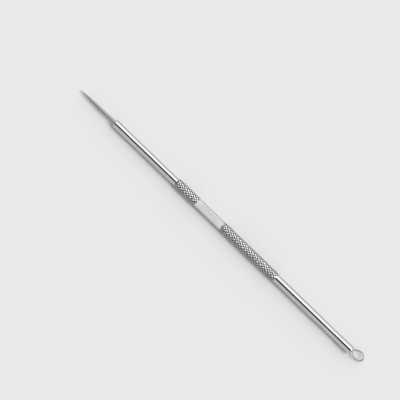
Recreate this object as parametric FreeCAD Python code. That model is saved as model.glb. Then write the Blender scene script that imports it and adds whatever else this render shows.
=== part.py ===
import FreeCAD, Part
import math
import os

# A slim steel hand tool that lies along X, with its needle towards -X and its wire loop towards +X.
# The origin is under the middle of its length, on the surface that it lies on.
# All sizes are in millimetres and all angles in degrees.

# Lengths along the tool, from the needle's point to the far side of the loop
NEEDLE_REACH = 17.2
NEEDLE_SHAFT_LENGTH = 30.5
FRONT_KNURL_LENGTH = 10.1
PLAIN_BAND_LENGTH = 12.8
REAR_KNURL_LENGTH = 26.4
LOOP_SHAFT_LENGTH = 37.7
LOOP_REACH = 5.3

# Handle, turned from a bar that keeps its drawn diameter on the loop's side
BAR_DIAMETER = 3.2
NEEDLE_SHAFT_CUT = 0.1
NEEDLE_END_CHAMFER = 0.15
LOOP_END_ROUND = 0.35

# Diamond knurl, rolled on two bands of the grip
KNURL_RISE = 0.2
KNURL_DEPTH = 0.2
KNURL_STARTS = 10
KNURL_PITCH = 1.46
FRONT_KNURL_LIP = 0.12
REAR_KNURL_LIP = 0.04

# Plain band between the knurls, with a flat pressed into its upper side
PLAIN_BAND_RISE = 0.15
FLAT_DEPTH = 0.5
FLAT_END_MARGIN = 0.15
FLAT_CORNER_RADIUS = 0.6

# Shallow waist where the bar is drawn in round the legs of the loop
WAIST_DEPTH = 0.1
WAIST_LENGTH = 3.0
WAIST_TAPER_LENGTH = 11.0
WAIST_FLARE_LENGTH = 3.6
WAIST_FROM_END = 3.8

# Needle, pressed into a blind seat
NEEDLE_DIAMETER = 1.4
NEEDLE_NECK_DIAMETER = 1.3
POINT_LENGTH = 10.0
POINT_TIP_RADIUS = 0.05
NEEDLE_SEAT_LENGTH = 9.0
NEEDLE_FOOT_CHAMFER = 0.2
NEEDLE_CLEARANCE = 0.01

# Loop, bent from one wire, with both ends side by side in a blind seat
WIRE_DIAMETER = 0.52
LOOP_WIDTH = 3.8
LOOP_WIDEST_FROM_FACE = 3.0
LOOP_MOUTH_BEND_RADIUS = 0.6
# 0 draws the flank straight from the mouth to the widest place, and 1 leaves no straight stretch in it
LOOP_FLANK_CURVE = 0.33
LOOP_LEG_GAP = 0.06
LOOP_SEAT_LENGTH = 10.0
LOOP_SEAT_CLEARANCE = 0.01
LOOP_OFFSET = 0.5

# Both blind seats are drilled, so they have a lead-in, a little spare depth and a conical bottom
SEAT_LEAD_IN = 0.12
SEAT_SPARE_DEPTH = 0.5
DRILL_POINT_ANGLE = 118.0

# Stations along X
overall_length = (
    NEEDLE_REACH
    + NEEDLE_SHAFT_LENGTH
    + FRONT_KNURL_LENGTH
    + PLAIN_BAND_LENGTH
    + REAR_KNURL_LENGTH
    + LOOP_SHAFT_LENGTH
    + LOOP_REACH
)
needle_tip_x = -overall_length / 2
needle_face_x = needle_tip_x + NEEDLE_REACH
front_knurl_x = needle_face_x + NEEDLE_SHAFT_LENGTH
plain_band_x = front_knurl_x + FRONT_KNURL_LENGTH
rear_knurl_x = plain_band_x + PLAIN_BAND_LENGTH
loop_shaft_x = rear_knurl_x + REAR_KNURL_LENGTH
loop_face_x = loop_shaft_x + LOOP_SHAFT_LENGTH

# Radii of the handle
bar_radius = BAR_DIAMETER / 2
needle_shaft_radius = bar_radius - NEEDLE_SHAFT_CUT
knurl_peak_radius = bar_radius + KNURL_RISE
knurl_root_radius = knurl_peak_radius - KNURL_DEPTH
knurl_core_radius = knurl_root_radius - KNURL_DEPTH
plain_band_radius = bar_radius + PLAIN_BAND_RISE

# The tool lies on the peaks of its knurl
axis_height = knurl_peak_radius

# Seats for the two inserts
needle_seat_radius = NEEDLE_DIAMETER / 2 + NEEDLE_CLEARANCE
loop_leg_offset = (WIRE_DIAMETER + LOOP_LEG_GAP) / 2
loop_seat_radius = loop_leg_offset + WIRE_DIAMETER / 2 + LOOP_SEAT_CLEARANCE


def at(x, y, z=0.0):
    """A point given from the tool's axis."""
    return FreeCAD.Vector(x, y, z + axis_height)


def line(start, end):
    return Part.LineSegment(start, end).toShape()


def arc(start, middle, end):
    return Part.Arc(start, middle, end).toShape()


def on_circle(centre_x, centre_y, radius, angle):
    """The point of a circle in the loop's plane at an angle counted from +X."""
    turn = math.radians(angle)
    return centre_x + radius * math.cos(turn), centre_y + radius * math.sin(turn)


def turned(edges, offset=0.0):
    """The solid turned from a closed half section, about the tool's axis or beside it."""
    face = Part.Face(Part.Wire(edges))
    return face.revolve(at(0, offset), FreeCAD.Vector(1, 0, 0), 360)


def outline(points):
    """The closed outline of straight edges through a list of points."""
    return [line(a, b) for a, b in zip(points, points[1:] + points[:1])]


def turned_blank():
    """The bar with its shafts, its plain band and the thinner core that the knurled bands close over."""
    waist_radius = bar_radius - WAIST_DEPTH
    flare_end_x = loop_face_x - WAIST_FROM_END
    waist_end_x = flare_end_x - WAIST_FLARE_LENGTH
    waist_start_x = waist_end_x - WAIST_LENGTH
    taper_start_x = waist_start_x - WAIST_TAPER_LENGTH
    round_start_x = loop_face_x - LOOP_END_ROUND
    round_middle = on_circle(round_start_x, bar_radius - LOOP_END_ROUND, LOOP_END_ROUND, 45)
    round_start = at(round_start_x, bar_radius)
    round_end = at(loop_face_x, bar_radius - LOOP_END_ROUND)
    section = [
        at(round_end.x, 0),
        at(needle_face_x, 0),
        at(needle_face_x, needle_shaft_radius - NEEDLE_END_CHAMFER),
        at(needle_face_x + NEEDLE_END_CHAMFER, needle_shaft_radius),
        at(front_knurl_x, needle_shaft_radius),
        at(front_knurl_x, knurl_core_radius),
        at(plain_band_x, knurl_core_radius),
        at(plain_band_x, plain_band_radius),
        at(rear_knurl_x, plain_band_radius),
        at(rear_knurl_x, knurl_core_radius),
        at(loop_shaft_x, knurl_core_radius),
        at(loop_shaft_x, bar_radius),
        at(taper_start_x, bar_radius),
        at(waist_start_x, waist_radius),
        at(waist_end_x, waist_radius),
        at(flare_end_x, bar_radius),
        round_start,
    ]
    edges = [line(a, b) for a, b in zip(section, section[1:])]
    edges.append(arc(round_start, at(*round_middle), round_end))
    edges.append(line(round_end, section[0]))
    return turned(edges)


def knurled_band(start_x, length, first_radius, last_radius):
    """A closed band of pyramids, with both end rings at their own radius.

    Peaks and valleys alternate round each ring and from ring to ring, so the valleys join up into
    two sets of crossing grooves. Each facet lies between one peak and a groove.
    """
    rings = max(2, round(length / (KNURL_PITCH / 2)))
    columns = 2 * KNURL_STARTS

    def radius(ring, column):
        if ring == 0:
            return first_radius
        if ring == rings:
            return last_radius
        return knurl_peak_radius if (ring + column) % 2 else knurl_root_radius

    def point(ring, column):
        turn = math.radians(360 * (column % columns) / columns - 90)
        reach = radius(ring, column)
        return at(start_x + length * ring / rings, reach * math.cos(turn), reach * math.sin(turn))

    facets = []
    for ring in range(rings):
        for column in range(columns):
            corners = [(ring, column), (ring, column + 1), (ring + 1, column + 1), (ring + 1, column)]
            if (ring + column) % 2:
                corners = corners[1:] + corners[:1]
            a, b, c, d = [point(*corner) for corner in corners]
            facets.append([a, b, c])
            facets.append([a, c, d])
    for ring in (0, rings):
        facets.append([point(ring, column) for column in range(columns)])
    faces = [Part.Face(Part.Wire(outline(facet))) for facet in facets]
    shell = Part.makeShell(faces)
    shell.sewShape()
    band = Part.makeSolid(shell)
    if band.Volume < 0:
        band.reverse()
    return band


def drilled_seat(face_x, inward, radius, depth, offset=0.0):
    """The blind hole cut from an end face, where inward is +1 or -1 along X."""
    bottom_x = face_x + inward * (depth + SEAT_SPARE_DEPTH)
    cone_depth = radius / math.tan(math.radians(DRILL_POINT_ANGLE / 2))
    half_section = [
        at(face_x, offset),
        at(face_x, offset + radius + SEAT_LEAD_IN),
        at(face_x + inward * SEAT_LEAD_IN, offset + radius),
        at(bottom_x, offset + radius),
        at(bottom_x + inward * cone_depth, offset),
    ]
    return turned(outline(half_section), offset)


def flat_cutter():
    """The block that leaves a flat with rounded corners in the top of the plain band."""
    floor_z = plain_band_radius - FLAT_DEPTH
    half_width = math.sqrt(plain_band_radius**2 - floor_z**2)
    length = PLAIN_BAND_LENGTH - 2 * FLAT_END_MARGIN
    corner = at(plain_band_x + FLAT_END_MARGIN, -half_width, floor_z)
    block = Part.makeBox(length, 2 * half_width, 2 * FLAT_DEPTH, corner)
    upright = [e for e in block.Edges if abs(e.tangentAt(e.FirstParameter).z) > 0.5]
    return block.makeFillet(min(FLAT_CORNER_RADIUS, half_width * 0.9), upright)


def handle():
    front_end_radius = needle_shaft_radius + FRONT_KNURL_LIP
    rear_end_radius = bar_radius + REAR_KNURL_LIP
    blank = turned_blank()
    blank = blank.cut(flat_cutter())
    blank = blank.cut(drilled_seat(needle_face_x, 1, needle_seat_radius, NEEDLE_SEAT_LENGTH))
    blank = blank.cut(drilled_seat(loop_face_x, -1, loop_seat_radius, LOOP_SEAT_LENGTH, LOOP_OFFSET))
    front = knurled_band(front_knurl_x, FRONT_KNURL_LENGTH, front_end_radius, knurl_root_radius)
    rear = knurled_band(rear_knurl_x, REAR_KNURL_LENGTH, knurl_root_radius, rear_end_radius)
    return blank.fuse([front, rear])


def lancet_needle():
    """A shank, a slightly tapered neck and a long curved point with a small round tip."""
    shank_radius = NEEDLE_DIAMETER / 2
    neck_radius = NEEDLE_NECK_DIAMETER / 2
    foot_x = needle_face_x + NEEDLE_SEAT_LENGTH
    point_x = needle_tip_x + POINT_LENGTH
    tip_centre_x = needle_tip_x + POINT_TIP_RADIUS
    slope = math.atan(2 * (neck_radius - POINT_TIP_RADIUS) / POINT_LENGTH)
    nose_x = tip_centre_x - POINT_TIP_RADIUS * math.sin(slope)
    nose_radius = POINT_TIP_RADIUS * math.cos(slope)
    run = point_x - nose_x
    drop = neck_radius - nose_radius
    curve_radius = (run**2 + drop**2) / (2 * drop)
    half_turn = math.asin(run / curve_radius) / 2
    curve_middle = at(
        point_x - curve_radius * math.sin(half_turn),
        neck_radius - curve_radius * (1 - math.cos(half_turn)),
    )
    nose_middle = at(*on_circle(tip_centre_x, 0, POINT_TIP_RADIUS, 135))
    shank = [
        at(point_x, neck_radius),
        at(needle_face_x, shank_radius),
        at(foot_x - NEEDLE_FOOT_CHAMFER, shank_radius),
        at(foot_x, shank_radius - NEEDLE_FOOT_CHAMFER),
        at(foot_x, 0),
        at(needle_tip_x, 0),
    ]
    edges = [line(a, b) for a, b in zip(shank, shank[1:])]
    edges.append(arc(at(needle_tip_x, 0), nose_middle, at(nose_x, nose_radius)))
    edges.append(arc(at(nose_x, nose_radius), curve_middle, at(point_x, neck_radius)))
    return turned(edges)


def extraction_loop():
    """One wire: a leg, a bend at the mouth, a straight flank, half of an eye, and the same back."""
    half_width = (LOOP_WIDTH - WIRE_DIAMETER) / 2
    apex = LOOP_REACH - WIRE_DIAMETER / 2
    # Past its widest place the eye is half an oval, with a tip arc and a side arc that meet at 45 degrees
    half_length = apex - LOOP_WIDEST_FROM_FACE
    share = math.sqrt(0.5)
    centre_shift = (half_length - half_width) / (2 * share - 1)
    tip_radius = half_length - centre_shift * share
    side_radius = half_width + centre_shift * share
    tip_centre = (apex - tip_radius, 0)
    side_centre = (LOOP_WIDEST_FROM_FACE, half_width - side_radius)
    # From the mouth to its widest place a flank touches the mouth bend and a shoulder arc
    rise = half_width - loop_leg_offset
    flank = math.atan2(rise, LOOP_WIDEST_FROM_FACE) * (1 + LOOP_FLANK_CURVE)
    both_radii = LOOP_WIDEST_FROM_FACE * math.sin(flank) - rise * math.cos(flank)
    both_radii = both_radii / (1 - math.cos(flank))
    shoulder_radius = both_radii - LOOP_MOUTH_BEND_RADIUS
    mouth_centre = (0, loop_leg_offset + LOOP_MOUTH_BEND_RADIUS)
    shoulder_centre = (LOOP_WIDEST_FROM_FACE, half_width - shoulder_radius)
    flank = math.degrees(flank)

    def place(spot, side):
        return at(loop_face_x + spot[0], LOOP_OFFSET + side * spot[1])

    def curve(centre, radius, first, last, side):
        """The arc between two angles of a circle, on one side of the loop."""
        angles = (first, (first + last) / 2, last)
        return arc(*[place(on_circle(*centre, radius, angle), side) for angle in angles])

    def half(side):
        """The edges from a leg's end to where the tip arc starts, on one side of the loop."""
        leg_end = place((-LOOP_SEAT_LENGTH, loop_leg_offset), side)
        mouth = place((0, loop_leg_offset), side)
        flank_start = place(on_circle(*mouth_centre, LOOP_MOUTH_BEND_RADIUS, flank - 90), side)
        flank_end = place(on_circle(*shoulder_centre, shoulder_radius, flank + 90), side)
        return [
            line(leg_end, mouth),
            curve(mouth_centre, LOOP_MOUTH_BEND_RADIUS, -90, flank - 90, side),
            line(flank_start, flank_end),
            curve(shoulder_centre, shoulder_radius, flank + 90, 90, side),
            curve(side_centre, side_radius, 90, 45, side),
        ]

    tip = curve(tip_centre, tip_radius, 45, -45, 1)
    path = Part.Wire(half(1) + [tip] + half(-1)[::-1])
    leg_end = place((-LOOP_SEAT_LENGTH, loop_leg_offset), 1)
    section = Part.Circle(leg_end, FreeCAD.Vector(1, 0, 0), WIRE_DIAMETER / 2)
    loop = path.makePipeShell([Part.Wire(section.toShape())], True, False)
    wire_volume = path.Length * math.pi * (WIRE_DIAMETER / 2) ** 2
    print("loop volume against its section times its length:", round(loop.Volume / wire_volume, 4))
    return loop


os.makedirs("parts", exist_ok=True)
for make in (handle, lancet_needle, extraction_loop):
    node = make.__name__
    shape = make()
    print(node, shape.isValid(), "solids", len(shape.Solids), "faces", len(shape.Faces))
    print(node, "volume", round(shape.Volume, 3), shape.BoundBox)
    shape.exportStep(f"parts/{node}.step")
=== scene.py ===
import math
import random

import bmesh
import bpy
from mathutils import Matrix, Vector


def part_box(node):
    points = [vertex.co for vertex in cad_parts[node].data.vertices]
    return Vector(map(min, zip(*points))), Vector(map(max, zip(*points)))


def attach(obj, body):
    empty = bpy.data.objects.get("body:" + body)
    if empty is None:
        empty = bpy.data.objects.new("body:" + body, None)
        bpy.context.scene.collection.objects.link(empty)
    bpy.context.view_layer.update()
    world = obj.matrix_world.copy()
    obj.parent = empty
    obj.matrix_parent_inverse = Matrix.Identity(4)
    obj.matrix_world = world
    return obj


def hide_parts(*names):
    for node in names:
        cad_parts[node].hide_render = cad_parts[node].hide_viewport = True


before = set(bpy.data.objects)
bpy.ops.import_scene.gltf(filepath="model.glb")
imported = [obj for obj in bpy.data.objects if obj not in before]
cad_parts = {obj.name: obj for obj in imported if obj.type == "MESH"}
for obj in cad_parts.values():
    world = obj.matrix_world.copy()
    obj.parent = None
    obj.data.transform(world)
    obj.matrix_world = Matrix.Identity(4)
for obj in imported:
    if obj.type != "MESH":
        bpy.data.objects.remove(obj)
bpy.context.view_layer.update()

# A slim steel tool that lies along X, needle towards -X and wire loop towards +X. Lengths are in metres.
MM = 0.001

# Places that the frame gives
handle_low, handle_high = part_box("handle")
needle_low, needle_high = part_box("lancet_needle")
loop_low, loop_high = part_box("extraction_loop")
AXIS_Z = (handle_low.z + handle_high.z) / 2
NEEDLE_FACE_X = handle_low.x
LOOP_FACE_X = handle_high.x
PEAK_RADIUS = (handle_high.z - handle_low.z) / 2

# Handle
NEEDLE_SHAFT_LENGTH = 30.5 * MM
FRONT_KNURL_LENGTH = 10.1 * MM
PLAIN_BAND_LENGTH = 12.8 * MM
REAR_KNURL_LENGTH = 26.4 * MM
BAR_RADIUS = 1.6 * MM
NEEDLE_SHAFT_RADIUS = 1.5 * MM
PLAIN_BAND_RADIUS = 1.75 * MM
NEEDLE_END_ROUND = 0.15 * MM
LOOP_END_ROUND = 0.35 * MM
WAIST_DEPTH = 0.1 * MM
WAIST_TAPER_LENGTH = 11.0 * MM
WAIST_LENGTH = 3.0 * MM
WAIST_FLARE_LENGTH = 3.6 * MM
WAIST_FROM_END = 3.8 * MM
# A ring this near to each end of a straight stretch keeps the shading straight up to its edge
EDGE_SUPPORT = 0.04 * MM
FRONT_KNURL_X = NEEDLE_FACE_X + NEEDLE_SHAFT_LENGTH
PLAIN_BAND_X = FRONT_KNURL_X + FRONT_KNURL_LENGTH
REAR_KNURL_X = PLAIN_BAND_X + PLAIN_BAND_LENGTH
LOOP_SHAFT_X = REAR_KNURL_X + REAR_KNURL_LENGTH

# Knurl: crossing grooves that leave rows of diamonds
KNURL_STARTS = 10
KNURL_ROW_PITCH = 0.73 * MM
KNURL_DEPTH = 0.2 * MM
FRONT_SHOULDER_LENGTH = 0.5 * MM
REAR_KNURL_LIP = 0.04 * MM
REAR_SHOULDER_LENGTH = 0.8 * MM
BAND_SHOULDER_LENGTH = 0.3 * MM
KNURL_STEPS = 6
# A diamond's top, as shares of the depth: how high it is, how much that varies, how it leans and is rounded
KNURL_TOP = 0.7
KNURL_TOP_SPREAD = 0.08
KNURL_TILT = 0.12
KNURL_SOFTNESS = 0.12
# How steeply its flanks rise
KNURL_FLANK = 1.25
KNURL_SEED = 11
KNURL_ROOT_RADIUS = PEAK_RADIUS - KNURL_DEPTH * (KNURL_TOP + KNURL_TOP_SPREAD)

# Flat on the plain band
FLAT_DEPTH = 0.5 * MM
FLAT_END_MARGIN = 0.15 * MM
FLAT_CORNER_RADIUS = 0.6 * MM
FLAT_HEIGHT = PLAIN_BAND_RADIUS - FLAT_DEPTH
FLAT_HALF_WIDTH = math.sqrt(PLAIN_BAND_RADIUS**2 - FLAT_HEIGHT**2)
FLAT_EDGE = math.asin(FLAT_HALF_WIDTH / PLAIN_BAND_RADIUS)

# Seats drilled into both ends
NEEDLE_SEAT_DEPTH = 9.5 * MM
LOOP_SEAT_DEPTH = 10.5 * MM
SEAT_LEAD_IN = 0.12 * MM
SEAT_CLEARANCE = 0.01 * MM
DRILL_POINT_ANGLE = math.radians(118)

# Needle
NEEDLE_RADIUS = (needle_high.z - needle_low.z) / 2
NEEDLE_NECK_RADIUS = 0.65 * MM
NEEDLE_POINT_LENGTH = 10.0 * MM
NEEDLE_TIP_RADIUS = 0.05 * MM
NEEDLE_FOOT_CHAMFER = 0.2 * MM
NEEDLE_COLUMNS = 64

# Loop
WIRE_RADIUS = (loop_high.z - loop_low.z) / 2
LOOP_MIDDLE_Y = (loop_low.y + loop_high.y) / 2
LOOP_HALF_WIDTH = (loop_high.y - loop_low.y) / 2 - WIRE_RADIUS
LOOP_APEX = loop_high.x - LOOP_FACE_X - WIRE_RADIUS
LOOP_LEG_LENGTH = LOOP_FACE_X - loop_low.x
LOOP_LEG_GAP = 0.06 * MM
LOOP_LEG_OFFSET = WIRE_RADIUS + LOOP_LEG_GAP / 2
LOOP_WIDEST = 3.0 * MM
LOOP_MOUTH_RADIUS = 0.6 * MM
LOOP_FLANK_CURVE = 0.33
LOOP_LEAST_STEP = 0.001 * MM
WIRE_COLUMNS = 24

# Meshes: points this close are one, and an edge with a sharper bend than this is not smoothed
MERGE_DISTANCE = 1e-7
SHARP_BEND = math.radians(50)

# Steel: how fine the grain, the slow clouds of tone and the brushed strokes are
GRAIN_SCALE = 900
CLOUD_SCALE = 160
STROKE_SCALE = 270
# How far the grain's lines are squeezed along X, Y and Z, and the share of that which the strokes have
ROUND_GRAIN = (40, 1, 1)
LONG_GRAIN = (1, 30, 30)
STROKE_SQUEEZE = 0.5
# The part of a noise's range that its values mostly lie in
NOISE_LOW, NOISE_HIGH = 0.3, 0.7
COOL_TINT = 1.01

# Camera, placed from where the tool lies in the photograph's 400 pixel frame
PHOTO_PIXELS = 400
PIXELS_PER_MM = 2.793
CAMERA_TURN = math.radians(43.94)
CAMERA_OVER_X = -11.8 * MM
CAMERA_OVER_Y = 1.27 * MM
CAMERA_LENS = 200
CAMERA_SENSOR = 36

# Studio light: how bright each soft box is, and where it lies by angle from straight overhead towards +Y
KEY_STRENGTH = 1.7
FILL_STRENGTH = 0.82
SIDE_STRENGTH = 0.38
GAP_STRENGTH = 0.0
AMBIENT_STRENGTH = 0.1
KEY_FROM = math.radians(12)
KEY_FULL_TO = math.radians(62)
KEY_ENDS = math.radians(90)
FILL_FROM = math.radians(-28)
FILL_FULL_TO = math.radians(-80)
FILL_ENDS = math.radians(-90)
BOX_EDGE = math.radians(2.5)
# How far each box reaches along the tool, as the sine of the angle from straight overhead
KEY_REACH = 0.52
FILL_REACH = 0.35
GAP_REACH = 0.3
REACH_EDGE = 0.2
# One lamp, far enough along X that the straight shafts don't mirror it to the camera
SUN_STRENGTH = 1.55
SUN_SPREAD = math.radians(28)
SUN_FROM = (0.45, 0.25, 0.8)

# Floor, which sweeps up a little all round
FLOOR_RADIUS = 2.4
SWEEP_RADIUS = 1.6
SWEEP_HEIGHT = 0.36
FLOOR_COLOUR = (0.74, 0.74, 0.75, 1)
FLOOR_CLOUD_SCALE = 9
FLOOR_CLOUD_TONE = 0.99


def smooth_step(t):
    t = min(1, max(0, t))
    return t * t * (3 - 2 * t)


def soft_min(a, b, softness):
    """The lower of two values, with the corner between them rounded."""
    t = min(1, max(0, 0.5 + 0.5 * (b - a) / softness))
    return b * (1 - t) + a * t - softness * t * (1 - t)


# Meshes

def new_piece(name, mesh):
    piece = bpy.data.objects.new(name, mesh)
    bpy.context.scene.collection.objects.link(piece)
    return piece


def skin(name, rings, finish=None, diagonals=None, marks=None):
    """A mesh through closed rings of points, with a strip of quads before each ring but the first.

    finish(strip, column) gives the material of a quad, where the piece has more than one.
    diagonals(strip, column) picks how a quad is split, or None to leave it whole.
    marks gives one number to each ring's points, kept as the point attribute "relief".
    """
    work = bmesh.new()
    relief = work.verts.layers.float.new("relief")
    rows = []
    for n, ring in enumerate(rings):
        row = [work.verts.new(p) for p in ring]
        for k, vertex in enumerate(row):
            vertex[relief] = marks[n][k] if marks else 1.0
        rows.append(row)
    for n in range(1, len(rows)):
        before, after = rows[n - 1], rows[n]
        columns = len(after)
        for k in range(columns):
            m = (k + 1) % columns
            quad = [before[k], before[m], after[m], after[k]]
            split = diagonals(n, k) if diagonals else None
            if split is None:
                parts = [quad]
            elif split:
                parts = [quad[:3], [quad[0], quad[2], quad[3]]]
            else:
                parts = [[quad[0], quad[1], quad[3]], quad[1:]]
            for part in parts:
                face = work.faces.new(part)
                face.material_index = finish(n, k) if finish else 0
                face.smooth = True
    bmesh.ops.remove_doubles(work, verts=work.verts, dist=MERGE_DISTANCE)
    bmesh.ops.dissolve_degenerate(work, edges=work.edges, dist=MERGE_DISTANCE)
    bmesh.ops.recalc_face_normals(work, faces=work.faces)
    mesh = bpy.data.meshes.new(name)
    work.to_mesh(mesh)
    work.free()
    mesh.set_sharp_from_angle(angle=SHARP_BEND)
    return mesh


def handle_columns():
    """Angles from the top, in order round the handle, with whether each belongs to the flat.

    Both edges of the flat come twice, once for each side of the step that closes its corners.
    """
    count = 2 * KNURL_STARTS * KNURL_STEPS
    angles = [math.tau * k / count - math.pi for k in range(count)]
    left = [(a, False) for a in angles if a < -FLAT_EDGE]
    flat = [(a, True) for a in angles if abs(a) < FLAT_EDGE]
    right = [(a, False) for a in angles if a > FLAT_EDGE]
    left += [(-FLAT_EDGE, False), (-FLAT_EDGE, True)]
    right = [(FLAT_EDGE, True), (FLAT_EDGE, False)] + right
    return left + flat + right


COLUMNS = handle_columns()
POLISHED, KNURLED, FLAT, BORE = range(4)


class Lathe:
    """Collects the rings of the handle, one stretch after another."""

    def __init__(self):
        self.rings = []
        self.finishes = []
        self.marks = []
        self.splits = {}
        self.sunk = set()
        self.turned = set()

    def add(self, points, finish, marks=None):
        self.rings.append(points)
        self.finishes.append(finish)
        self.marks.append(marks or [1.0] * len(points))

    def finish(self, strip, column):
        """The material of one quad: its strip's, but for the flat and the smooth parts of a shoulder."""
        sides = column, (column + 1) % len(COLUMNS)
        if all(COLUMNS[k][1] for k in sides) and {strip - 1, strip} <= self.sunk:
            return FLAT
        if {(n, k) for n in (strip - 1, strip) for k in sides} <= self.turned:
            return POLISHED
        return self.finishes[strip]

    def circle(self, x, radius, finish, offset=0.0):
        points = []
        for angle, _ in COLUMNS:
            points.append(Vector((x, offset + radius * math.sin(angle), AXIS_Z + radius * math.cos(angle))))
        self.add(points, finish)

    def straight(self, start_x, end_x, radius):
        for x in (start_x, start_x + EDGE_SUPPORT, end_x - EDGE_SUPPORT, end_x):
            self.circle(x, radius, POLISHED)


def add_seat(lathe, face_x, inward, radius, depth, offset, outwards):
    """The rings of a drilled seat, from its conical bottom to its mouth, or the other way."""
    bottom_x = face_x + inward * depth
    tip_x = bottom_x + inward * radius / math.tan(DRILL_POINT_ANGLE / 2)
    stations = [
        (tip_x, 0),
        (bottom_x, radius),
        (face_x + inward * SEAT_LEAD_IN, radius),
        (face_x, radius + SEAT_LEAD_IN),
    ]
    for x, r in stations if outwards else reversed(stations):
        lathe.circle(x, r, BORE, offset)


def add_round(lathe, x, inward, radius, size, outwards):
    """The rings of a rounded end edge, from the end face to the shaft, or the other way."""
    steps = 6
    turns = [math.pi / 2 * n / steps for n in range(steps + 1)]
    for turn in turns if outwards else reversed(turns):
        along = inward * size * (1 - math.cos(turn))
        lathe.circle(x + along, radius - size * (1 - math.sin(turn)), POLISHED)


def knurl_relief(a, b, tops):
    """Height of the knurl at column a and row b, as a share of its depth, from 0 in the grooves."""
    s, d = a + b, a - b
    i, j = 2 * math.floor(s / 2) + 1, 2 * math.floor(d / 2) + 1
    key = (((i + j) // 2) % (2 * KNURL_STARTS), (i - j) // 2)
    top, lean_s, lean_d = tops[key]
    pyramid = 1 - max(abs(s - i), abs(d - j))
    table = top + lean_s * (s - i) + lean_d * (d - j)
    return max(0, soft_min(pyramid * KNURL_FLANK, table, KNURL_SOFTNESS))


def knurl_tops(rows, seed):
    """How high each diamond was rolled, and how its top leans."""
    draw = random.Random(seed)
    tops = {}
    for column in range(2 * KNURL_STARTS):
        for row in range(-1, rows + 2):
            height = KNURL_TOP + draw.uniform(-1, 1) * KNURL_TOP_SPREAD
            leans = [draw.uniform(-1, 1) * KNURL_TILT for _ in range(2)]
            tops[(column, row)] = (height, *leans)
    return tops


def add_knurl(lathe, start_x, length, first, last, seed):
    """A knurled stretch. first and last give the radius at that end and the length of the shoulder there."""
    rows = round(length / KNURL_ROW_PITCH)
    pitch = length / rows
    tops = knurl_tops(rows, seed)
    for n in range(rows * KNURL_STEPS + 1):
        b = n / KNURL_STEPS
        x = start_x + b * pitch
        limit = PEAK_RADIUS
        for (end_radius, shoulder), along in ((first, b * pitch), (last, length - b * pitch)):
            limit = min(limit, end_radius + (PEAK_RADIUS - end_radius) * along / shoulder)
        points, marks = [], []
        for k, (angle, _) in enumerate(COLUMNS):
            a = (angle + math.pi) / (math.pi / KNURL_STARTS)
            relief = knurl_relief(a, b, tops)
            radius = KNURL_ROOT_RADIUS + KNURL_DEPTH * relief
            if limit <= radius:
                radius = limit
                if limit < PEAK_RADIUS:
                    lathe.turned.add((len(lathe.rings), k))
            points.append(Vector((x, radius * math.sin(angle), AXIS_Z + radius * math.cos(angle))))
            marks.append(relief)
        lathe.add(points, KNURLED, marks)
        strip = len(lathe.rings) - 1
        if n:
            lathe.splits[strip] = b - 0.5 / KNURL_STEPS


def knurl_split(lathe):
    """The rule that splits each quad of the knurl along the groove that runs beside it."""

    def split(strip, column):
        if strip not in lathe.splits:
            return None
        here, there = COLUMNS[column][0], COLUMNS[(column + 1) % len(COLUMNS)][0]
        if there < here:
            there += math.tau
        a = ((here + there) / 2 + math.pi) / (math.pi / KNURL_STARTS)
        b = lathe.splits[strip]
        s, d = a + b, a - b
        return abs(s - 2 * math.floor(s / 2) - 1) < abs(d - 2 * math.floor(d / 2) - 1)

    return split


def add_plain_band(lathe):
    """The smooth band, with a flat that has rounded corners pressed into its top."""
    flat_from = PLAIN_BAND_X + FLAT_END_MARGIN
    flat_to = REAR_KNURL_X - FLAT_END_MARGIN
    corner_steps = 8
    # Stations are distances in from an end of the flat, with the width that the flat has there
    corner = []
    for n in range(corner_steps + 1):
        turn = math.pi / 2 * n / corner_steps
        inset = FLAT_CORNER_RADIUS * (1 - math.cos(turn))
        corner.append((inset, FLAT_HALF_WIDTH - FLAT_CORNER_RADIUS * (1 - math.sin(turn))))

    def section(x, half_width, sunk):
        edge = math.asin(half_width / PLAIN_BAND_RADIUS)
        points = []
        for angle, on_flat in COLUMNS:
            if on_flat:
                y = half_width * math.tan(angle) / math.tan(FLAT_EDGE)
                z = FLAT_HEIGHT if sunk else math.sqrt(PLAIN_BAND_RADIUS**2 - y**2)
            else:
                share = (math.pi - abs(angle)) / (math.pi - FLAT_EDGE)
                turn = math.copysign(math.pi - share * (math.pi - edge), angle)
                y, z = PLAIN_BAND_RADIUS * math.sin(turn), PLAIN_BAND_RADIUS * math.cos(turn)
            points.append(Vector((x, y, AXIS_Z + z)))
        if sunk:
            lathe.sunk.add(len(lathe.rings))
        lathe.add(points, POLISHED)

    end_width = corner[0][1]
    section(PLAIN_BAND_X, end_width, False)
    section(flat_from, end_width, False)
    for inset, half_width in corner:
        section(flat_from + inset, half_width, True)
    for inset, half_width in reversed(corner):
        section(flat_to - inset, half_width, True)
    section(flat_to, end_width, False)
    section(REAR_KNURL_X, end_width, False)


def add_loop_shaft(lathe):
    """The loop-side shaft, eased in to a shallow waist before its end."""
    flare_end = LOOP_FACE_X - WAIST_FROM_END
    waist_end = flare_end - WAIST_FLARE_LENGTH
    waist_start = waist_end - WAIST_LENGTH
    taper_start = waist_start - WAIST_TAPER_LENGTH
    steps = 14
    lathe.straight(LOOP_SHAFT_X, taper_start, BAR_RADIUS)
    for n in range(1, steps + 1):
        share = n / steps
        radius = BAR_RADIUS - WAIST_DEPTH * smooth_step(share)
        lathe.circle(taper_start + WAIST_TAPER_LENGTH * share, radius, POLISHED)
    for n in range(steps):
        share = n / steps
        radius = BAR_RADIUS - WAIST_DEPTH * smooth_step(1 - share)
        lathe.circle(waist_end + WAIST_FLARE_LENGTH * share, radius, POLISHED)
    lathe.straight(flare_end, LOOP_FACE_X - LOOP_END_ROUND, BAR_RADIUS)


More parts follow.
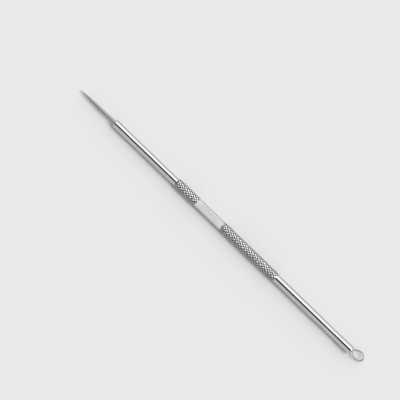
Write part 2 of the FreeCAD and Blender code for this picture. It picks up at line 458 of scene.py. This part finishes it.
def build_handle():
    lathe = Lathe()
    needle_seat_radius = NEEDLE_RADIUS + SEAT_CLEARANCE
    loop_seat_radius = LOOP_LEG_OFFSET + WIRE_RADIUS + SEAT_CLEARANCE
    add_seat(lathe, NEEDLE_FACE_X, 1, needle_seat_radius, NEEDLE_SEAT_DEPTH, 0, True)
    add_round(lathe, NEEDLE_FACE_X, 1, NEEDLE_SHAFT_RADIUS, NEEDLE_END_ROUND, True)
    lathe.straight(NEEDLE_FACE_X + NEEDLE_END_ROUND, FRONT_KNURL_X, NEEDLE_SHAFT_RADIUS)
    front_end = (NEEDLE_SHAFT_RADIUS, FRONT_SHOULDER_LENGTH)
    rear_end = (BAR_RADIUS + REAR_KNURL_LIP, REAR_SHOULDER_LENGTH)
    band_end = (KNURL_ROOT_RADIUS, BAND_SHOULDER_LENGTH)
    add_knurl(lathe, FRONT_KNURL_X, FRONT_KNURL_LENGTH, front_end, band_end, KNURL_SEED)
    add_plain_band(lathe)
    add_knurl(lathe, REAR_KNURL_X, REAR_KNURL_LENGTH, band_end, rear_end, KNURL_SEED + 1)
    add_loop_shaft(lathe)
    add_round(lathe, LOOP_FACE_X, -1, BAR_RADIUS, LOOP_END_ROUND, False)
    add_seat(lathe, LOOP_FACE_X, -1, loop_seat_radius, LOOP_SEAT_DEPTH, LOOP_MIDDLE_Y, False)
    mesh = skin("steel_handle", lathe.rings, lathe.finish, knurl_split(lathe), lathe.marks)
    return new_piece("steel_handle", mesh)


def build_needle():
    foot_x = needle_high.x
    tip_x = needle_low.x
    point_x = tip_x + NEEDLE_POINT_LENGTH
    stations = [
        (foot_x, 0),
        (foot_x, NEEDLE_RADIUS - NEEDLE_FOOT_CHAMFER),
        (foot_x - NEEDLE_FOOT_CHAMFER, NEEDLE_RADIUS),
        (NEEDLE_FACE_X, NEEDLE_RADIUS),
    ]
    neck_steps, point_steps, nose_steps = 10, 40, 6
    for n in range(1, neck_steps + 1):
        share = n / neck_steps
        x = NEEDLE_FACE_X + (point_x - NEEDLE_FACE_X) * share
        stations.append((x, NEEDLE_RADIUS + (NEEDLE_NECK_RADIUS - NEEDLE_RADIUS) * share))
    slope = math.atan(2 * (NEEDLE_NECK_RADIUS - NEEDLE_TIP_RADIUS) / NEEDLE_POINT_LENGTH)
    nose_x = tip_x + NEEDLE_TIP_RADIUS * (1 - math.sin(slope))
    nose_radius = NEEDLE_TIP_RADIUS * math.cos(slope)
    run, drop = point_x - nose_x, NEEDLE_NECK_RADIUS - nose_radius
    for n in range(1, point_steps + 1):
        share = n / point_steps
        stations.append((point_x - run * share, NEEDLE_NECK_RADIUS - drop * share**2))
    for n in range(1, nose_steps + 1):
        turn = slope + (math.pi / 2 - slope) * n / nose_steps
        x = tip_x + NEEDLE_TIP_RADIUS * (1 - math.sin(turn))
        stations.append((x, NEEDLE_TIP_RADIUS * math.cos(turn)))
    turns = [math.tau * k / NEEDLE_COLUMNS for k in range(NEEDLE_COLUMNS)]
    rings = [[Vector((x, r * math.sin(a), AXIS_Z + r * math.cos(a))) for a in turns] for x, r in stations]
    return new_piece("ground_needle", skin("ground_needle", rings))


def loop_route():
    """Points along the middle of the wire, from one leg's end to the other's."""
    half_length = LOOP_APEX - LOOP_WIDEST
    share = math.sqrt(0.5)
    shift = (half_length - LOOP_HALF_WIDTH) / (2 * share - 1)
    tip_radius = half_length - shift * share
    side_radius = LOOP_HALF_WIDTH + shift * share
    rise = LOOP_HALF_WIDTH - LOOP_LEG_OFFSET
    flank = math.atan2(rise, LOOP_WIDEST) * (1 + LOOP_FLANK_CURVE)
    both_radii = (LOOP_WIDEST * math.sin(flank) - rise * math.cos(flank)) / (1 - math.cos(flank))
    shoulder_radius = both_radii - LOOP_MOUTH_RADIUS
    quarter = math.pi / 2
    # Each arc: its centre, its radius, and the angles that it runs between
    arcs = [
        ((0, LOOP_LEG_OFFSET + LOOP_MOUTH_RADIUS), LOOP_MOUTH_RADIUS, -quarter, flank - quarter),
        ((LOOP_WIDEST, LOOP_HALF_WIDTH - shoulder_radius), shoulder_radius, flank + quarter, quarter),
        ((LOOP_WIDEST, LOOP_HALF_WIDTH - side_radius), side_radius, quarter, quarter / 2),
        ((LOOP_APEX - tip_radius, 0), tip_radius, quarter / 2, 0),
    ]
    steps = 10
    upper = [Vector((-LOOP_LEG_LENGTH, LOOP_LEG_OFFSET, 0))]
    for (cx, cy), radius, first, last in arcs:
        for n in range(steps + 1):
            turn = first + (last - first) * n / steps
            upper.append(Vector((cx + radius * math.cos(turn), cy + radius * math.sin(turn), 0)))
    points = upper + [Vector((p.x, -p.y, 0)) for p in reversed(upper)]
    spaced = [points[0]]
    for p in points[1:]:
        if (p - spaced[-1]).length > LOOP_LEAST_STEP:
            spaced.append(p)
    return [p + Vector((LOOP_FACE_X, LOOP_MIDDLE_Y, AXIS_Z)) for p in spaced]


def build_loop():
    route = loop_route()
    up = Vector((0, 0, 1))
    turns = [math.tau * k / WIRE_COLUMNS for k in range(WIRE_COLUMNS)]
    # A ring drawn together to one point closes each end of the wire
    rings = [[route[0]] * WIRE_COLUMNS]
    for n, p in enumerate(route):
        ahead = route[min(n + 1, len(route) - 1)] - route[max(n - 1, 0)]
        side = Vector((-ahead.y, ahead.x, 0)).normalized()
        rings.append([p + WIRE_RADIUS * (math.cos(a) * side + math.sin(a) * up) for a in turns])
    rings.append([route[-1]] * WIRE_COLUMNS)
    return new_piece("wire_loop", skin("wire_loop", rings))


# Materials

class Nodes:
    """Short calls for adding and joining a material's or a world's nodes."""

    def __init__(self, owner):
        owner.use_nodes = True
        self.tree = owner.node_tree
        self.tree.nodes.clear()

    def add(self, kind, **settings):
        node = self.tree.nodes.new("ShaderNode" + kind)
        for key, value in settings.items():
            if hasattr(node, key):
                setattr(node, key, value)
            else:
                node.inputs[key].default_value = value
        return node

    def link(self, output, target):
        self.tree.links.new(output, target)

    def feed(self, socket, value):
        """Gives a socket a number, a colour or another node's output."""
        if isinstance(value, (int, float, tuple)):
            socket.default_value = value
        else:
            self.link(value, socket)

    def math(self, operation, a, b=None):
        node = self.add("Math", operation=operation)
        self.feed(node.inputs[0], a)
        if b is not None:
            self.feed(node.inputs[1], b)
        return node.outputs[0]

    def ramp(self, value, low, high, to_low=0.0, to_high=1.0, smooth=False):
        node = self.add("MapRange", interpolation_type="SMOOTHSTEP" if smooth else "LINEAR")
        node.clamp = True
        self.link(value, node.inputs["Value"])
        for name, number in (("From Min", low), ("From Max", high), ("To Min", to_low), ("To Max", to_high)):
            node.inputs[name].default_value = number
        return node.outputs["Result"]

    def noise(self, scale, detail=3.0, stretch=(1, 1, 1)):
        where = self.add("TexCoord")
        place = self.add("Mapping")
        place.inputs["Scale"].default_value = stretch
        self.link(where.outputs["Object"], place.inputs["Vector"])
        node = self.add("TexNoise")
        node.inputs["Scale"].default_value = scale
        node.inputs["Detail"].default_value = detail
        self.link(place.outputs["Vector"], node.inputs["Vector"])
        return node.outputs["Fac"]

    def blend(self, share, a, b):
        """A number that goes from a to b as share goes from 0 to 1."""
        node = self.add("Mix", data_type="FLOAT")
        self.feed(node.inputs[0], share)
        self.feed(node.inputs[2], a)
        self.feed(node.inputs[3], b)
        return node.outputs[0]

    def mix(self, share, a, b):
        """A colour that goes from a to b as share goes from 0 to 1."""
        node = self.add("Mix", data_type="RGBA")
        self.feed(node.inputs[0], share)
        self.feed(node.inputs[6], a)
        self.feed(node.inputs[7], b)
        return node.outputs[2]


def steel(name, light, dark, rough, grain, grain_depth, brushed=0.0, painted_groove_shade=None):
    """Steel with a fine grain, slow changes of tone and, where a groove shade is given, painted shade that
    darkens the grooves.

    rough is the lowest and highest roughness, and grain how the grain's lines are squeezed along X, Y and Z.
    brushed is how much of the change of tone, from 0 to 1, runs in coarse strokes along the grain.
    """
    material = bpy.data.materials.new(name)
    n = Nodes(material)
    surface = n.add("BsdfPrincipled", Metallic=1.0)
    result = n.add("OutputMaterial")
    lines = n.noise(GRAIN_SCALE, 2, grain)
    clouds = n.noise(CLOUD_SCALE, 3)
    strokes = n.noise(STROKE_SCALE, 4, tuple(1 + (g - 1) * STROKE_SQUEEZE for g in grain))
    tone = n.math("ADD", n.math("MULTIPLY", clouds, 1 - brushed), n.math("MULTIPLY", strokes, brushed))
    colour = n.mix(n.ramp(tone, NOISE_LOW, NOISE_HIGH), dark, light)
    # Painted shade: where the knurl is low, in its grooves, the colour is darkened to stand in for the shade
    # that falls there.
    if painted_groove_shade:
        relief = n.add("Attribute", attribute_name="relief")
        colour = n.mix(n.ramp(relief.outputs["Fac"], *painted_groove_shade["span"], smooth=True), painted_groove_shade["colour"], colour)
    n.link(colour, surface.inputs["Base Color"])
    spread = n.math("ADD", n.math("MULTIPLY", lines, 0.5), n.math("MULTIPLY", clouds, 0.5))
    n.link(n.ramp(spread, NOISE_LOW, NOISE_HIGH, *rough), surface.inputs["Roughness"])
    bump = n.add("Bump", Distance=grain_depth, Strength=1.0)
    n.link(lines, bump.inputs["Height"])
    n.link(bump.outputs["Normal"], surface.inputs["Normal"])
    n.link(surface.outputs[0], result.inputs[0])
    return material


def grey(level):
    return (level, level, level * COOL_TINT, 1)


def make_materials():
    # Painted shade for the knurl's grooves: the colour goes near black where the relief is low, as if in
    # shade.
    painted_groove_shade = {"span": (0.18, 0.78), "colour": grey(0.08)}
    polished = steel("polished_steel", grey(0.58), grey(0.55), (0.05, 0.09), ROUND_GRAIN, 2e-7)
    knurled = steel("knurled_steel", grey(0.74), grey(0.64), (0.29, 0.31), LONG_GRAIN, 5e-7, painted_groove_shade=painted_groove_shade)
    flat = steel("satin_steel", grey(0.77), grey(0.59), (0.40, 0.52), LONG_GRAIN, 1e-6, brushed=0.8)
    # Painted shade: the seats' walls get a far darker colour than the other steel, standing in for the shade
    # inside the holes; their rougher drilled finish is real.
    bore = steel("drilled_steel_painted_shade", grey(0.30), grey(0.20), (0.35, 0.5), ROUND_GRAIN, 2e-6)
    needle = steel("ground_steel", grey(0.38), grey(0.35), (0.07, 0.12), ROUND_GRAIN, 3e-7)
    wire = steel("drawn_steel", grey(0.38), grey(0.34), (0.26, 0.32), LONG_GRAIN, 4e-7)
    return [polished, knurled, flat, bore], [needle], [wire]


# Stage

def build_floor():
    """A round floor that sweeps up at its rim, so that it also closes the view from the side."""
    profile = [(FLOOR_RADIUS / 2, 0), (FLOOR_RADIUS, 0)]
    steps = 16
    whole_turn = math.acos(1 - SWEEP_HEIGHT / SWEEP_RADIUS)
    for n in range(1, steps + 1):
        turn = whole_turn * n / steps
        profile.append((FLOOR_RADIUS + SWEEP_RADIUS * math.sin(turn), SWEEP_RADIUS * (1 - math.cos(turn))))
    columns = 96
    work = bmesh.new()
    rows = []
    for radius, z in profile:
        turns = [math.tau * k / columns for k in range(columns)]
        rows.append([work.verts.new((radius * math.cos(a), radius * math.sin(a), z)) for a in turns])
    work.faces.new(rows[0])
    for before, after in zip(rows, rows[1:]):
        for k in range(columns):
            m = (k + 1) % columns
            work.faces.new([before[k], after[k], after[m], before[m]]).smooth = True
    mesh = bpy.data.meshes.new("pale_floor")
    work.to_mesh(mesh)
    work.free()
    floor = new_piece("pale_floor", mesh)
    material = bpy.data.materials.new("pale_floor")
    n = Nodes(material)
    matte = n.add("BsdfDiffuse")
    clouded = tuple(c * FLOOR_CLOUD_TONE for c in FLOOR_COLOUR)
    tone = n.mix(n.noise(FLOOR_CLOUD_SCALE, 2), FLOOR_COLOUR, clouded)
    n.link(tone, matte.inputs["Color"])
    result = n.add("OutputMaterial")
    n.link(matte.outputs[0], result.inputs[0])
    mesh.materials.append(material)


def build_world():
    """Two long soft boxes, one each side of the tool, with a dark gap between them overhead."""
    world = bpy.data.worlds.new("studio")
    bpy.context.scene.world = world
    n = Nodes(world)
    direction = n.add("TexCoord")
    split = n.add("SeparateXYZ")
    n.link(direction.outputs["Generated"], split.inputs[0])
    x, y, z = split.outputs
    lean = n.math("ARCTAN2", y, z)
    reach = n.math("ABSOLUTE", x)

    def past(angle):
        return n.ramp(lean, angle - BOX_EDGE / 2, angle + BOX_EDGE / 2, smooth=True)

    def within(length):
        return n.ramp(reach, length, length + REACH_EDGE, 1, 0, True)

    key = n.ramp(lean, KEY_FULL_TO, KEY_ENDS, KEY_STRENGTH, SIDE_STRENGTH, True)
    fill = n.ramp(lean, FILL_ENDS, FILL_FULL_TO, SIDE_STRENGTH, FILL_STRENGTH, True)
    fill = n.blend(within(FILL_REACH), AMBIENT_STRENGTH, fill)
    gap = n.blend(within(GAP_REACH), FILL_STRENGTH, GAP_STRENGTH)
    across = n.blend(past(KEY_FROM), n.blend(past(FILL_FROM), fill, gap), key)
    studio = n.add("Background", Color=(1, 1, 1, 1))
    n.link(n.blend(within(KEY_REACH), AMBIENT_STRENGTH, across), studio.inputs["Strength"])
    result = n.add("OutputWorld")
    n.link(studio.outputs[0], result.inputs[0])


def build_sun():
    data = bpy.data.lights.new("sun", "SUN")
    data.energy = SUN_STRENGTH
    data.angle = SUN_SPREAD
    sun = bpy.data.objects.new("sun", data)
    bpy.context.scene.collection.objects.link(sun)
    sun.rotation_euler = Vector(SUN_FROM).to_track_quat("Z", "Y").to_euler()


def build_camera():
    data = bpy.data.cameras.new("camera")
    data.lens = CAMERA_LENS
    data.sensor_width = CAMERA_SENSOR
    camera = bpy.data.objects.new("camera", data)
    bpy.context.scene.collection.objects.link(camera)
    frame_width = PHOTO_PIXELS / PIXELS_PER_MM * MM
    distance = frame_width * CAMERA_LENS / CAMERA_SENSOR
    camera.location = (CAMERA_OVER_X, CAMERA_OVER_Y, AXIS_Z + distance)
    camera.rotation_euler = (0, 0, CAMERA_TURN)
    bpy.context.scene.camera = camera


def dress(piece, materials, node):
    for material in materials:
        piece.data.materials.append(material)
    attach(piece, "root")
    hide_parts(node)


handle_finishes, needle_finishes, wire_finishes = make_materials()
dress(build_handle(), handle_finishes, "handle")
dress(build_needle(), needle_finishes, "lancet_needle")
dress(build_loop(), wire_finishes, "extraction_loop")
build_floor()
build_world()
build_sun()
build_camera()
bpy.context.scene.view_settings.view_transform = "Standard"
